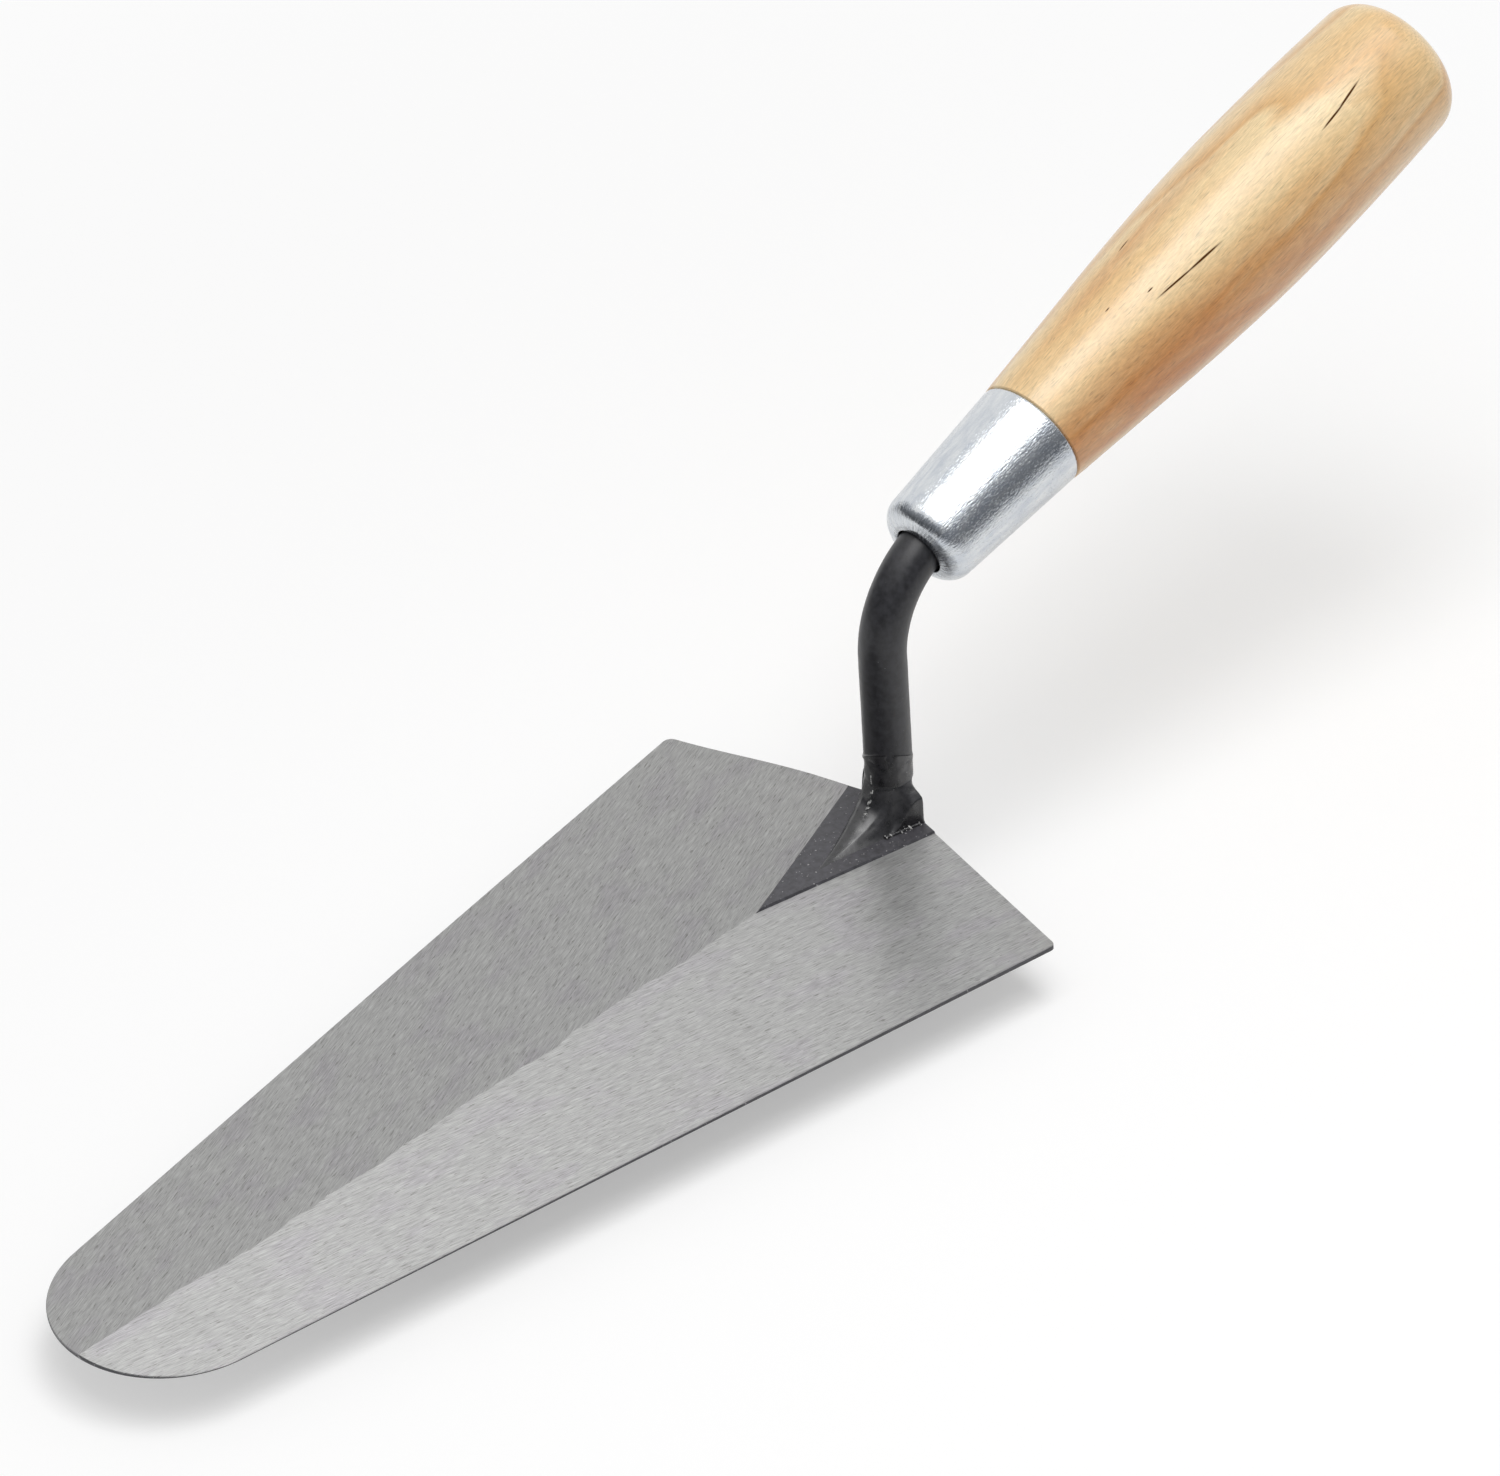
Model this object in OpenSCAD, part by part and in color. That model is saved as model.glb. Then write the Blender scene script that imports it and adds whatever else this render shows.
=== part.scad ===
// Gauging trowel: a tapered steel blade with a rounded toe, a forged foot and a cranked
// round shank, a plated ferrule and a turned hardwood handle.
//
// Frame: the blade's flat underside lies on z = 0 and the upright part of the shank runs
// up the Z axis. +X points to the toe, and the handle leans back over -X. Millimetres.

/* [Blade] */
// Length of the blade from the heel point to the toe
blade_length = 178; // [120:1:260]
// Width of the blade across the two heel corners
blade_width = 85.9; // [70:0.1:120]
// How far the heel corners lie ahead of the heel point
heel_drop = 10.1; // [4:0.1:16]
// Radius of the round toe
toe_radius = 19; // [12:0.5:30]
// Rounding of the two heel corners
corner_radius = 1.4; // [1:0.1:4]
// Thickness of the blade at a heel corner
corner_thickness = 1; // [0.8:0.05:1.5]
// Thickness of the blade's edge where the toe begins
toe_thickness = 0.4; // [0.3:0.05:0.8]
// Thickness of the ground blade at the tip of the pad
crest_thickness = 1.9; // [1.6:0.05:2.2]

/* [Pad] */
// Thickness of the blade at the unground triangular pad
pad_thickness = 2.3; // [2.25:0.05:3.5]
// Length of the pad from the heel point to its tip
pad_length = 34.6; // [26:0.1:45]
// Width of the pad along the heel
pad_width = 18.6; // [15:0.1:26]
// Turn of the pad about the shank, towards +Y
pad_turn = 4.3; // [0:0.1:8]

/* [Foot] */
// Distance from the heel point to the shank's axis
shank_setback = 2.5; // [2:0.05:6]
// Width of the foot along the heel
foot_width = 13.4; // [10:0.1:15]
// Reach of the foot's nose ahead of the shank's axis
foot_reach = 19.5; // [14:0.5:24]
// Turn of the foot's nose about the shank, towards +Y
nose_turn = 7.3; // [0:0.1:9]
// Height over the pad at which the foot has narrowed to the neck
foot_height = 7; // [5:0.1:9]
// Diameter of the neck between the foot and the seam
neck_diameter = 7.7; // [6:0.1:10]
// Height of the seam between foot and rod over the underside
seam_height = 13; // [12:0.1:18]
// Height of the weld ripples around the foot
weld_height = 0.6; // [0.3:0.05:1]
// Width of the weld ripples around the foot
weld_width = 0.7; // [0.4:0.05:1]

/* [Shank] */
// Diameter of the round shank
shank_diameter = 7.8; // [6:0.1:10]
// Height at which the handle's axis crosses the shank's axis
crank_height = 45.2; // [40:0.1:60]
// Radius of the shank's bend, along its middle line
bend_radius = 17; // [12:0.5:18]
// Rise of the handle over the plane of the blade, in degrees
handle_rise = 17.2; // [5:0.1:30]
// Diameter of the straight tang behind the bend
tang_diameter = 7.6; // [5:0.1:7.8]
// Length of the tang inside the wood, from the ferrule's back end
tang_reach = 60; // [30:1:80]
// Chamfer on the end of the tang
tang_chamfer = 1.2; // [0.5:0.1:2]
// How far the seam's bead stands out of the shank
seam_bead_height = 0.25; // [0.1:0.05:0.6]
// Length of the seam's bead along the shank
seam_bead_length = 1.8; // [1:0.1:3]

/* [Ferrule] */
// Distance along the handle's axis from the crank point to the ferrule's mouth
ferrule_start = 9.3; // [8:0.1:16]
// Length of the ferrule
ferrule_length = 28; // [18:0.5:40]
// Diameter of the ferrule behind its rounded mouth
ferrule_mouth_diameter = 16.6; // [16:0.1:18]
// Diameter of the ferrule at the wood
ferrule_back_diameter = 19.5; // [18:0.1:22]
// Thickness of the ferrule's sheet
ferrule_wall = 0.9; // [0.6:0.05:1.2]
// Diameter of the hole in the ferrule's domed mouth
mouth_hole_diameter = 9.7; // [9:0.1:11]

/* [Handle] */
// Length of the wood that shows behind the ferrule
grip_length = 94.8; // [80:0.5:130]
// Largest diameter of the grip
grip_diameter = 27.4; // [24:0.1:34]
// Distance from the ferrule to the grip's largest diameter
grip_peak = 58; // [45:0.5:65]
// Diameter of the wood where it meets the ferrule
grip_front_diameter = 19.8; // [19.5:0.1:22]
// Growth of the grip's radius for each millimetre of length, just behind the ferrule
front_taper = 0.08; // [0.05:0.005:0.12]
// Diameter of the grip where the butt's rounding begins
butt_diameter = 25.9; // [23:0.1:30]
// Rounding of the butt's edge
butt_rounding = 5.5; // [3:0.1:8]
// Height of the low crown on the butt's end
butt_crown = 0.8; // [0.2:0.1:2]

/* [Fits] */
// Radial clearance between ferrule and tenon, and between tang and bore
fit_clearance = 0.05; // [0.02:0.01:0.1]
// Radial clearance between a weld bead and the metal inside it
bead_clearance = 0.02; // [0.01:0.01:0.05]
// Gap between the tang's end and the bottom of its bore
bore_end_gap = 0.4; // [0.1:0.1:2]
// Gap between the front of the tenon and the ferrule's rounded mouth
tenon_end_gap = 0.4; // [0.1:0.1:1]

/* [Hidden] */
$fn = 96;

// Larger than the whole trowel, for cutting blocks
beyond = 400;

// ---- Blade: outline and ground facets ----
heel_x = -shank_setback;
corner = [heel_x + heel_drop, blade_width / 2];
toe_centre = [heel_x + blade_length - toe_radius, 0];

// The side runs from the corner and touches the toe's arc
to_toe = toe_centre - corner;
side_angle = atan2(to_toe[1], to_toe[0]) + asin(toe_radius / norm(to_toe));
side_length = sqrt(pow(norm(to_toe), 2) - pow(toe_radius, 2));
toe_touch = corner + side_length * [cos(side_angle), sin(side_angle)];

// A heel corner's arc touches the heel and the side
toward_heel = ([heel_x, 0] - corner) / norm([heel_x, 0] - corner);
toward_toe = [cos(side_angle), sin(side_angle)];
corner_half_angle = acos(toward_heel * toward_toe) / 2;
corner_bisector = (toward_heel + toward_toe) / norm(toward_heel + toward_toe);
corner_centre = corner + corner_bisector * corner_radius / sin(corner_half_angle);
corner_cut = corner_radius / tan(corner_half_angle);

// The pad's tip is turned about the shank, and its heel end lies along the heel
pad_tip_reach = pad_length - shank_setback;
pad_tip = pad_tip_reach * [1, tan(pad_turn)];
pad_heel_x = heel_x + heel_drop * pad_width / blade_width;

function flipped(point, side) = [point[0], side * point[1]];
function unit(v) = v / norm(v);

// Upward normal of the ground facet on one side of the crest
function facet_normal(side) =
    let (
        at_corner = [corner[0], side * corner[1], corner_thickness],
        at_toe = [toe_touch[0], side * toe_touch[1], toe_thickness],
        at_tip = [pad_tip[0], pad_tip[1], crest_thickness]
    )
    unit(side * cross(at_toe - at_tip, at_corner - at_tip));

// ---- Foot: its outline runs out along the pad as a narrowing nose ----
foot_rear_x = heel_x + heel_drop * foot_width / blade_width;
foot_length = foot_reach - foot_rear_x;
nose_power = 1.18;
nose_steps = 14;
rear_steps = 8;
level_steps = 14;
neck_radius = neck_diameter / 2;
foot_lean = tan(nose_turn);

function foot_half_width(x) = foot_width / 2 * pow(1 - (x - foot_rear_x) / foot_length, nose_power);

// Outline on the pad, from the middle of the heel round the nose and back
foot_side = concat(
    [for (i = [0 : rear_steps - 1])
        let (u = i / rear_steps)
        [heel_x + u * (foot_rear_x - heel_x), u * foot_width / 2]],
    [for (i = [0 : nose_steps - 1])
        let (x = foot_rear_x + foot_length * i / nose_steps)
        [x, foot_half_width(x)]]
);
foot_outline = [
    for (p = concat(
        foot_side,
        [[foot_reach, 0]],
        [for (i = [len(foot_side) - 1 : -1 : 1]) flipped(foot_side[i], -1)]
    )) [p[0], p[1] + max(p[0], 0) * foot_lean]
];

// Share of the way from the neck out to the outline, at height h from 0 (pad) to 1 (neck):
// the nose sweeps up like a bell, the heel end stands up and has sloping shoulders
shoulder_share = 0.32;
bell_fall = 5;
shoulder_reach = 8;
function bell(h) = pow(1 - h, 2) / (1 + bell_fall * h);
function shoulder(h) = min(1, (1 - h) / shoulder_share);
function fullness(x, h) =
    let (k = min(1, max(0, 1 - x / shoulder_reach)))
    k * shoulder(h) + (1 - k) * bell(h);

function foot_ring(h, z) = [
    for (p = foot_outline)
        let (
            on_neck = neck_radius * unit(p),
            q = on_neck + (p - on_neck) * fullness(p[0], h)
        )
        [q[0], q[1], z]
];

// ---- Shank: upright, bend and tang ----
shank_radius = shank_diameter / 2;
bend_angle = 90 - handle_rise;
bend_run = bend_radius * tan(bend_angle / 2);
bend_start = crank_height - bend_run;
ferrule_end = ferrule_start + ferrule_length;
tang_radius = tang_diameter / 2;
tang_overlap = 0.5;
tang_length = ferrule_end + tang_reach - bend_run + tang_overlap;

// ---- Ferrule, along the handle's axis from its mouth ----
mouth_radius = ferrule_mouth_diameter / 2;
ferrule_back_radius = ferrule_back_diameter / 2;
// The sheet turns inward in a quarter round and ends in a round lip at the hole
lip_radius = ferrule_wall / 2;
lip_centre = [mouth_hole_diameter / 2 + lip_radius, lip_radius];
mouth_rounding = mouth_radius - lip_centre[0];
tenon_start = mouth_rounding + tenon_end_gap;

function ferrule_outer(s) =
    mouth_radius + (ferrule_back_radius - mouth_radius)
    * (s - mouth_rounding) / (ferrule_length - mouth_rounding);
function ferrule_inner(s) = ferrule_outer(s) - ferrule_wall;

// ---- Handle ----
grip_peak_radius = grip_diameter / 2;
grip_front_radius = grip_front_diameter / 2;
butt_radius = butt_diameter / 2;
barrel_end = grip_length - butt_crown - butt_rounding;
barrel_steps = 24;
rounding_steps = 10;

// Radius of the grip from the ferrule to its peak: a cubic with a given first slope
function swell(u) =
    (2 * pow(u, 3) - 3 * pow(u, 2) + 1) * grip_front_radius
    + (pow(u, 3) - 2 * pow(u, 2) + u) * front_taper * grip_peak
    + (3 * pow(u, 2) - 2 * pow(u, 3)) * grip_peak_radius;
// Radius of the grip from its peak to the butt
function fall(u) = grip_peak_radius - (grip_peak_radius - butt_radius) * pow(u, 2);

function arc(centre, radius, from, to, steps) = [
    for (i = [0 : steps])
        let (a = from + (to - from) * i / steps)
        centre + radius * [cos(a), sin(a)]
];

module on_handle_axis(distance) {
    translate([0, 0, crank_height])
        rotate([0, handle_rise - 90, 0])
            translate([0, 0, distance])
                children();
}

module blade_outline() {
    polygon([
        [heel_x, 0],
        corner + toward_heel * corner_cut,
        corner + toward_toe * corner_cut,
        toe_touch,
        flipped(toe_touch, -1),
        flipped(corner + toward_toe * corner_cut, -1),
        flipped(corner + toward_heel * corner_cut, -1)
    ]);
    translate(toe_centre) circle(toe_radius);
    for (side = [1, -1])
        translate(flipped(corner_centre, side)) circle(corner_radius);
}

module above_facet(side) {
    n = facet_normal(side);
    translate([pad_tip[0], pad_tip[1], crest_thickness])
        rotate(a = acos(n[2]), v = [-n[1], n[0], 0])
            translate([-beyond, -beyond, 0])
                cube([2 * beyond, 2 * beyond, beyond]);
}

module blade() {
    color([0.70, 0.70, 0.69])
    union() {
        difference() {
            linear_extrude(pad_thickness) blade_outline();
            above_facet(1);
            above_facet(-1);
        }
        linear_extrude(pad_thickness)
            polygon([
                [heel_x, 0],
                [pad_heel_x, pad_width / 2],
                pad_tip,
                [pad_heel_x, -pad_width / 2]
            ]);
    }
}

module foot() {
    count = len(foot_outline);
    neck_ring = level_steps + 1;
    points = [
        for (j = [0 : level_steps])
            let (h = j / level_steps)
            each foot_ring(h, pad_thickness + h * foot_height),
        each foot_ring(1, seam_height)
    ];
    color([0.16, 0.16, 0.17])
    polyhedron(points, concat(
        [[for (i = [count - 1 : -1 : 0]) i]],
        [[for (i = [0 : count - 1]) neck_ring * count + i]],
        [for (j = [0 : neck_ring - 1], i = [0 : count - 1])
            let (a = j * count + i, b = j * count + (i + 1) % count)
            [a, b, b + count, a + count]]
    ));
}

module foot_weld() {
    outer = 1 + weld_width / (foot_width / 2);
    inner = 1 + bead_clearance / (foot_width / 2);
    color([0.13, 0.13, 0.14])
    intersection() {
        translate([0, 0, pad_thickness])
            linear_extrude(weld_height)
                difference() {
                    scale(outer) polygon(foot_outline);
                    scale(inner) polygon(foot_outline);
                }
        // The bead runs along both flanks and not across the heel
        translate([foot_rear_x, -beyond, 0]) cube([foot_reach - foot_rear_x, 2 * beyond, beyond]);
    }
}

module shank() {
    color([0.16, 0.16, 0.17])
    union() {
        translate([0, 0, seam_height])
            cylinder(h = bend_start - seam_height, r = shank_radius);
        translate([-bend_radius, 0, bend_start])
            rotate([90, 0, 0])
                rotate_extrude(angle = bend_angle)
                    translate([bend_radius, 0]) circle(shank_radius);
        // The tang is a little thinner than the rod and starts inside the end of the bend
        on_handle_axis(bend_run - tang_overlap)
            rotate_extrude()
                polygon([
                    [0, 0],
                    [tang_radius, 0],
                    [tang_radius, tang_length - tang_chamfer],
                    [tang_radius - tang_chamfer, tang_length],
                    [0, tang_length]
                ]);
    }
}

module seam_weld() {
    // The bead's section is a cap of a circle, this radius, that rests on the rod
    half_length = seam_bead_length / 2;
    cap_radius = (pow(seam_bead_height, 2) + pow(half_length, 2)) / (2 * seam_bead_height);
    inside = max(shank_radius, neck_radius) + bead_clearance;
    color([0.13, 0.13, 0.14])
    translate([0, 0, seam_height])
        rotate_extrude()
            intersection() {
                translate([inside + seam_bead_height - cap_radius, 0]) circle(cap_radius);
                translate([inside, -half_length]) square([seam_bead_height, seam_bead_length]);
            }
}

module ferrule() {
    rounding_centre = [lip_centre[0], mouth_rounding];
    color([0.78, 0.79, 0.80])
    on_handle_axis(ferrule_start)
        rotate_extrude()
            polygon(concat(
                arc(rounding_centre, mouth_rounding, 0, -90, rounding_steps),
                arc(lip_centre, lip_radius, -90, -270, rounding_steps),
                arc(rounding_centre, mouth_rounding - ferrule_wall, -90, 0, rounding_steps),
                [
                    [ferrule_inner(ferrule_length), ferrule_length],
                    [ferrule_back_radius, ferrule_length]
                ]
            ));
}

module handle() {
    edge_centre = [butt_radius - butt_rounding, barrel_end];
    crown_edge = [butt_radius - butt_rounding, barrel_end + butt_rounding];
    tenon_front = tenon_start - ferrule_length;
    color([0.85, 0.66, 0.42])
    on_handle_axis(ferrule_end)
    difference() {
        rotate_extrude()
            polygon(concat(
                [
                    [0, tenon_front],
                    [ferrule_inner(tenon_start) - fit_clearance, tenon_front],
                    [ferrule_inner(ferrule_length) - fit_clearance, 0]
                ],
                [for (i = [0 : barrel_steps])
                    let (u = i / barrel_steps)
                    [swell(u), u * grip_peak]],
                [for (i = [1 : barrel_steps])
                    let (u = i / barrel_steps)
                    [fall(u), grip_peak + u * (barrel_end - grip_peak)]],
                arc(edge_centre, butt_rounding, 0, 90, rounding_steps),
                [for (i = [1 : rounding_steps])
                    let (u = 1 - i / rounding_steps)
                    [crown_edge[0] * u, crown_edge[1] + butt_crown * (1 - u * u)]]
            ));
        // The bore, cut from the crank point, and its entry, which clears the end of the bend
        translate([0, 0, -ferrule_end]) {
            cylinder(h = ferrule_end + tang_reach + bore_end_gap, r = tang_radius + fit_clearance);
            cylinder(h = bend_run + tenon_end_gap, r = shank_radius + fit_clearance);
        }
    }
}

blade();
foot();
foot_weld();
shank();
seam_weld();
ferrule();
handle();
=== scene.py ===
# Gauging trowel: a ground steel blade with a black pad, a forged foot welded to a bent rod,
# a zinc plated ferrule and a lacquered birch grip. Sizes below are in millimetres.
import math

import bmesh
import bpy
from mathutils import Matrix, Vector, kdtree, noise
from mathutils.geometry import delaunay_2d_cdt


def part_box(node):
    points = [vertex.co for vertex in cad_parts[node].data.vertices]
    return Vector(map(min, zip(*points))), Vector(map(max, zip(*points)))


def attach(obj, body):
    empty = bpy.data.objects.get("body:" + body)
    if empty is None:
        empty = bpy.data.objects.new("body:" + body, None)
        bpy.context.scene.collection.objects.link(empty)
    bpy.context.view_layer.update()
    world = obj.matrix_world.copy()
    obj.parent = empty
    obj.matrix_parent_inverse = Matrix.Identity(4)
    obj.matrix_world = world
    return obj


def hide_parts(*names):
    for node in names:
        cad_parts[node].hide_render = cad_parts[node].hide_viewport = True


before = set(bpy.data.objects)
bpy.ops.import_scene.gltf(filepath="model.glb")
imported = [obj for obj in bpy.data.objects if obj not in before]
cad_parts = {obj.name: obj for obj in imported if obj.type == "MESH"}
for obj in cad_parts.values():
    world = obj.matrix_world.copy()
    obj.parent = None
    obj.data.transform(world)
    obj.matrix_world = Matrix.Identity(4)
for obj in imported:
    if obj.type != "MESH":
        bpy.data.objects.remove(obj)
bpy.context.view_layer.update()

mm = 0.001


def boxOf(node):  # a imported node's lowest and highest corners, in millimetres
    return [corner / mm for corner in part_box(node)]


def linearColour(text):  # an sRGB hex colour as linear RGBA
    parts = [int(text[i:i + 2], 16) / 255 for i in (1, 3, 5)]
    return [c / 12.92 if c <= 0.04045 else ((c + 0.055) / 1.055) ** 2.4 for c in parts] + [1.0]


def addNode(tree, kind, sockets=None, stops=None, **settings):  # one node with its settings and links
    node = tree.nodes.new(kind)
    for name, value in settings.items():
        setattr(node, name, value)
    for key, value in (sockets or {}).items():
        if isinstance(value, bpy.types.Node):
            value = value.outputs[0]
        if isinstance(value, bpy.types.NodeSocket):
            tree.links.new(value, node.inputs[key])
        else:
            node.inputs[key].default_value = value
    for i, (share, colour) in enumerate(stops or ()):
        elements = node.color_ramp.elements
        element = elements[i] if i < 2 else elements.new(share)
        element.position, element.color = share, linearColour(colour)
    return node


def newMaterial(name):
    material = bpy.data.materials.new(name)
    material.use_nodes = True
    material.node_tree.nodes.clear()
    return material, material.node_tree


def meshPiece(name, points, faces, materials, smoothAngle=35):  # points in millimetres
    mesh = bpy.data.meshes.new(name)
    mesh.from_pydata([Vector(p) * mm for p in points], [], faces)
    bm = bmesh.new()
    bm.from_mesh(mesh)
    bmesh.ops.delete(bm, geom=[v for v in bm.verts if not v.link_faces], context="VERTS")
    bmesh.ops.recalc_face_normals(bm, faces=bm.faces)
    bm.to_mesh(mesh)
    bm.free()
    mesh.shade_smooth()
    mesh.set_sharp_from_angle(angle=math.radians(smoothAngle))
    for material in materials:
        mesh.materials.append(material)
    piece = bpy.data.objects.new(name, mesh)
    bpy.context.scene.collection.objects.link(piece)
    return piece


def paintMap(piece, name, rule):  # a UV map: rule(face, point in mm) gives each corner's place in mm
    layer = piece.data.uv_layers.new(name=name)
    for face in piece.data.polygons:
        for loop in face.loop_indices:
            point = piece.data.vertices[piece.data.loops[loop].vertex_index].co / mm
            layer.data[loop].uv = rule(face, point)


def arc(centre, radius, start, end, steps):  # points on an arc, angles in degrees
    turns = [math.radians(start + (end - start) * i / steps) for i in range(steps + 1)]
    return [(centre[0] + radius * math.cos(t), centre[1] + radius * math.sin(t)) for t in turns]


def easeIn(low, high, x):  # 0 below low, 1 above high, smooth between
    t = min(1, max(0, (x - low) / (high - low)))
    return t * t * (3 - 2 * t)


def place(piece, slotName, *nodes):
    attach(piece, "root")
    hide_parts(*nodes)


view = dict(  # the camera: place in mm, turn in degrees
    place=(807.01, 822.19, 861.97), turn=(53.71507, 3.00827, 134.40696), lens=216, sensor=36)

cameraData = bpy.data.cameras.new("camera")
cameraData.lens, cameraData.sensor_width = view["lens"], view["sensor"]
cameraData.clip_start, cameraData.clip_end = 0.05, 50
camera = bpy.data.objects.new("camera", cameraData)
camera.location = Vector(view["place"]) * mm
camera.rotation_euler = [math.radians(a) for a in view["turn"]]
bpy.context.scene.collection.objects.link(camera)
bpy.context.scene.camera = camera
print("camera placed")


def makeGroundSteel():
    # Carbon steel plate, surface ground with a coarse wheel: fine lines that run one way and
    # spread the light across them, drawn a little coarser than real so that they show. The
    # "grind" map runs across and along the lines, in mm, and the counts below are per mm
    material, tree = newMaterial("groundSteel")
    lines = addNode(tree, "ShaderNodeUVMap", uv_map="grind")
    layers = {}
    for name, across, along, detail in (
            ("scratch", 6.6, 0.36, 3), ("streak", 2.6, 0.13, 3), ("cloud", 0.16, 0.07, 3),
            ("nick", 3.2, 0.4, 2)):
        scaled = addNode(tree, "ShaderNodeMapping", {"Vector": lines, "Scale": (across, along, 1)})
        layers[name] = addNode(tree, "ShaderNodeTexNoise", {
            "Vector": scaled, "Scale": 1, "Detail": detail, "Roughness": 0.6}, noise_dimensions="2D")
    both = addNode(tree, "ShaderNodeMath", {
        0: layers["streak"], 1: 0.35, 2: layers["scratch"]}, operation="MULTIPLY_ADD")
    colour = addNode(tree, "ShaderNodeValToRGB", {"Fac": both}, stops=(
        (0.38, "#898988"), (0.6, "#9b9b9a"), (0.76, "#a6a6a5"), (0.98, "#b8b8b7")))
    nicked = addNode(tree, "ShaderNodeMapRange", {
        "Value": layers["nick"], "From Min": 0.65, "From Max": 0.74, "To Max": 0.7})
    tinted = addNode(tree, "ShaderNodeMapRange", {
        "Value": layers["cloud"], "From Min": 0.5, "From Max": 0.68, "To Max": 0.55})
    clouded = addNode(tree, "ShaderNodeMix", {
        "Factor": tinted, "A": colour, "B": linearColour("#f7f3fa")}, data_type="RGBA", blend_type="MULTIPLY")
    marked = addNode(tree, "ShaderNodeMix", {
        "Factor": nicked, "A": clouded.outputs[2], "B": linearColour("#6d6b69")}, data_type="RGBA")
    rough = addNode(tree, "ShaderNodeMapRange", {
        "Value": layers["cloud"], "From Min": 0.3, "From Max": 0.7, "To Min": 0.38, "To Max": 0.46})
    bump = addNode(tree, "ShaderNodeBump", {
        "Height": layers["scratch"], "Strength": 0.34, "Distance": 0.00002})
    tangent = addNode(tree, "ShaderNodeTangent", direction_type="UV_MAP", uv_map="grind")
    steel = addNode(tree, "ShaderNodeBsdfPrincipled", {
        "Base Color": marked.outputs[2], "Metallic": 1.0, "Roughness": rough, "Anisotropic": 0.75,
        "Normal": bump, "Tangent": tangent})
    addNode(tree, "ShaderNodeOutputMaterial", {"Surface": steel})
    return material


def makeBlackSteel(name, darkest, lightest, roughness, bareAndGlintFrom, bareAndGlintColour="#8c8b8d", ior=1.5):
    # Rolled or forged steel with its scale on, dipped in thin black lacquer: satin, a little
    # uneven, with light specks where the scale shows through. On weld ridges the pale specks
    # are partly bare weld metal and partly a painted highlight
    material, tree = newMaterial(name)
    where = addNode(tree, "ShaderNodeTexCoord").outputs["Object"]
    layers = {}  # scales are counts per metre, for marks of 1.1, 0.6 and 2.9 mm
    for layer, scale, detail in (("mottle", 900, 4), ("speck", 1700, 1), ("wave", 350, 3)):
        layers[layer] = addNode(tree, "ShaderNodeTexNoise", {
            "Vector": where, "Scale": scale, "Detail": detail, "Roughness": 0.6})
    colour = addNode(tree, "ShaderNodeValToRGB", {"Fac": layers["mottle"]}, stops=(
        (0.36, darkest), (0.64, lightest)))
    bareAndGlint = addNode(tree, "ShaderNodeMapRange", {
        "Value": layers["speck"], "From Min": bareAndGlintFrom, "From Max": bareAndGlintFrom + 0.06, "To Max": 0.7})
    skin = addNode(tree, "ShaderNodeMix", {
        "Factor": bareAndGlint, "A": colour, "B": linearColour(bareAndGlintColour)}, data_type="RGBA")
    rough = addNode(tree, "ShaderNodeMapRange", {
        "Value": layers["mottle"], "From Min": 0.3, "From Max": 0.7,
        "To Min": roughness - 0.06, "To Max": roughness + 0.06})
    bump = addNode(tree, "ShaderNodeBump", {
        "Height": layers["wave"], "Strength": 0.5, "Distance": 0.0001})
    steel = addNode(tree, "ShaderNodeBsdfPrincipled", {
        "Base Color": skin.outputs[2], "Roughness": rough, "IOR": ior, "Normal": bump})
    addNode(tree, "ShaderNodeOutputMaterial", {"Surface": steel})
    return material


def makeZincPlate():
    # Steel sheet, deep drawn and bright zinc plated: nearly a mirror, with the orange peel of
    # the drawing stretched along it, drawn coarser than real so that it shows. The "turned" map
    # runs round and along the ferrule, in mm
    material, tree = newMaterial("brightZinc")
    around = addNode(tree, "ShaderNodeUVMap", uv_map="turned")
    layers = {}
    for name, across, along, detail in (("peel", 2.6, 1.2, 2), ("line", 5.0, 0.5, 2), ("cloud", 0.5, 0.2, 3)):
        scaled = addNode(tree, "ShaderNodeMapping", {"Vector": around, "Scale": (across, along, 1)})
        layers[name] = addNode(tree, "ShaderNodeTexNoise", {
            "Vector": scaled, "Scale": 1, "Detail": detail, "Roughness": 0.6, "Distortion": 0.2},
            noise_dimensions="2D")
    colour = addNode(tree, "ShaderNodeValToRGB", {"Fac": layers["cloud"]}, stops=(
        (0.3, "#c2c7ce"), (0.7, "#d7dadc")))
    rough = addNode(tree, "ShaderNodeMapRange", {
        "Value": layers["peel"], "From Min": 0.48, "From Max": 0.66, "To Min": 0.09, "To Max": 0.3})
    relief = addNode(tree, "ShaderNodeMath", {
        0: layers["line"], 1: 0.25, 2: layers["peel"]}, operation="MULTIPLY_ADD")
    bump = addNode(tree, "ShaderNodeBump", {"Height": relief, "Strength": 0.55, "Distance": 0.0001})
    zinc = addNode(tree, "ShaderNodeBsdfPrincipled", {
        "Base Color": colour, "Metallic": 1.0, "Roughness": rough, "Normal": bump})
    addNode(tree, "ShaderNodeOutputMaterial", {"Surface": zinc})
    return material


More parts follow.
